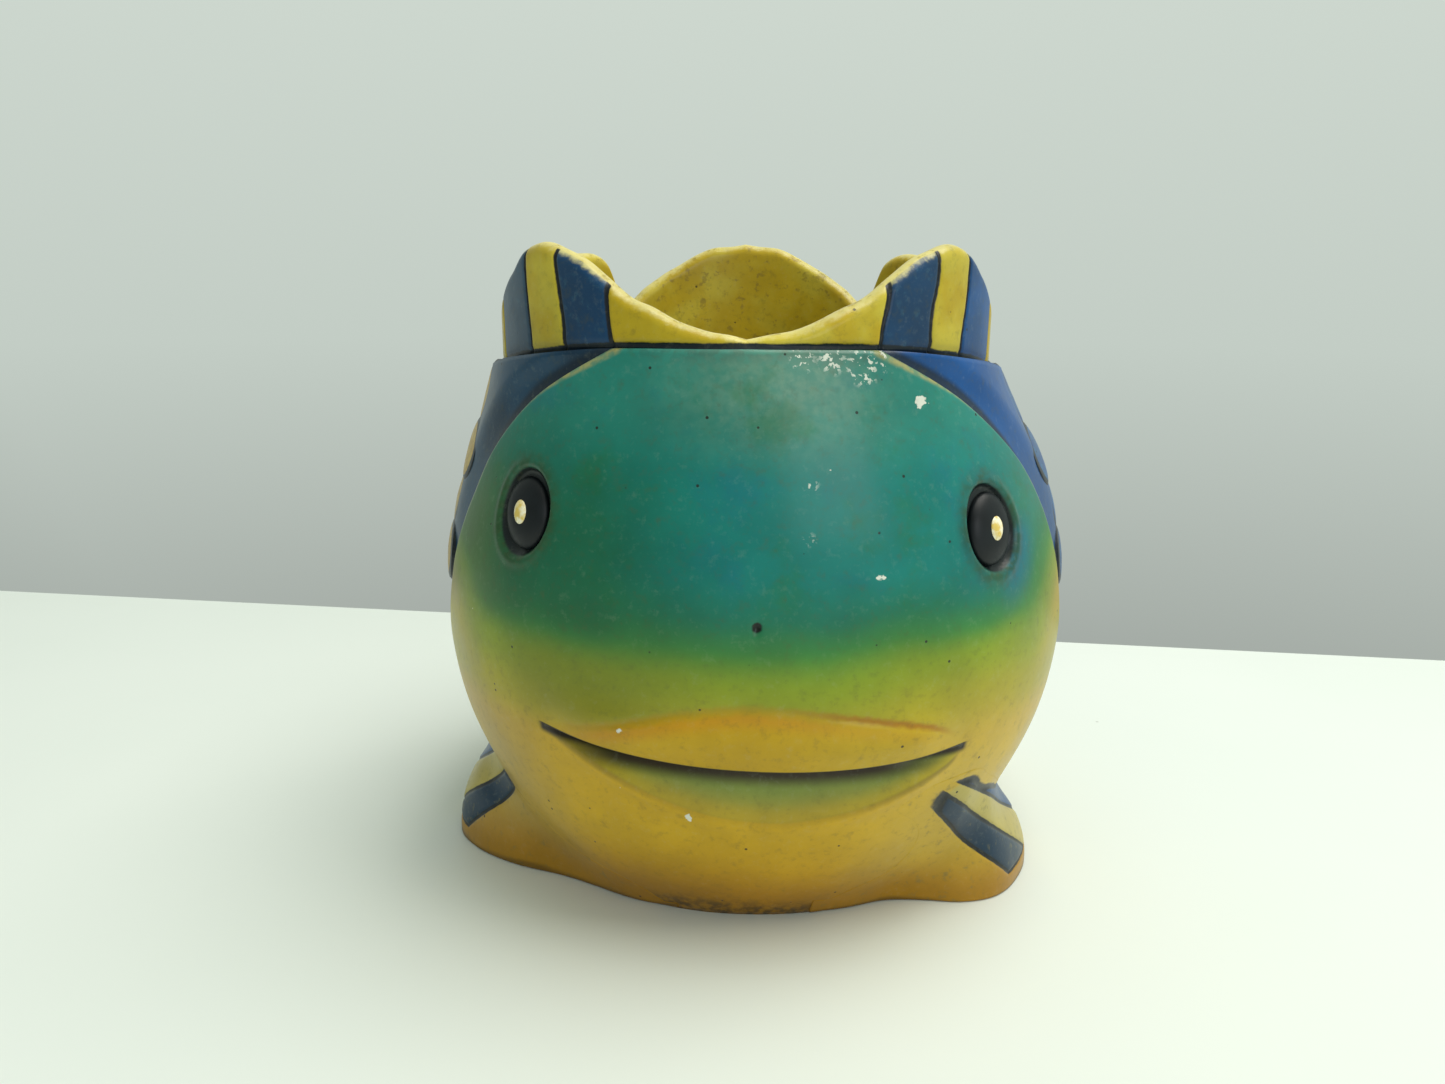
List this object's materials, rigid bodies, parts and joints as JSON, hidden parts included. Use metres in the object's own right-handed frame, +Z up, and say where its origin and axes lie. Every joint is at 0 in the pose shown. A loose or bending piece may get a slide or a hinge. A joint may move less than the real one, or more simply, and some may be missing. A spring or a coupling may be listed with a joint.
{
  "type": "bubbling ornament",
  "caption": "Hollow open-topped fish ornament with a wavy fin collar, bulging face and side fins; a lift-out air stone in its bowl is fed by a nipple at the back.",
  "frame": {"origin": "on the table surface, in the middle of the flat base, under the axis of the bowl", "axes": "+Z up; the fish looks along -Y; +X is to the right when the fish is seen from in front"},
  "size_m": [0.1178, 0.1374, 0.115],
  "materials": {
    "body_paint": "satin",
    "face_paint": "satin",
    "fin_paint": "satin",
    "eye_black": "gloss",
    "pupil_cream": "gloss",
    "scale_gold": "satin",
    "black_plastic": "matte",
    "black_rubber": "matte",
    "white_plastic": "satin",
    "stone_grit": "matte"
  },
  "bodies": {
    "fish": {"body_casting": "body_paint", "face_casting": "face_paint", "fin_collar": "fin_paint", "pectoral_fin_left": "fin_paint", "pectoral_fin_right": "fin_paint", "tail_fin": "fin_paint", "eye_left": "eye_black", "eye_right": "eye_black", "pupil_left": "pupil_cream", "pupil_right": "pupil_cream", "scales_left": "scale_gold", "scales_right": "scale_gold", "air_inlet": "black_plastic", "inlet_gasket": "black_rubber", "inlet_nut": "black_plastic", "air_elbow": "black_plastic", "elbow_foot": "black_rubber"},
    "stone": {"stone_stem": "white_plastic", "air_stone": "stone_grit"}
  },
  "joints": [
    {"name": "stone_lift", "type": "slide", "parent": "fish", "child": "stone", "axis": [0, 0, 1], "range_m": [0, 0.1]}
  ]
}
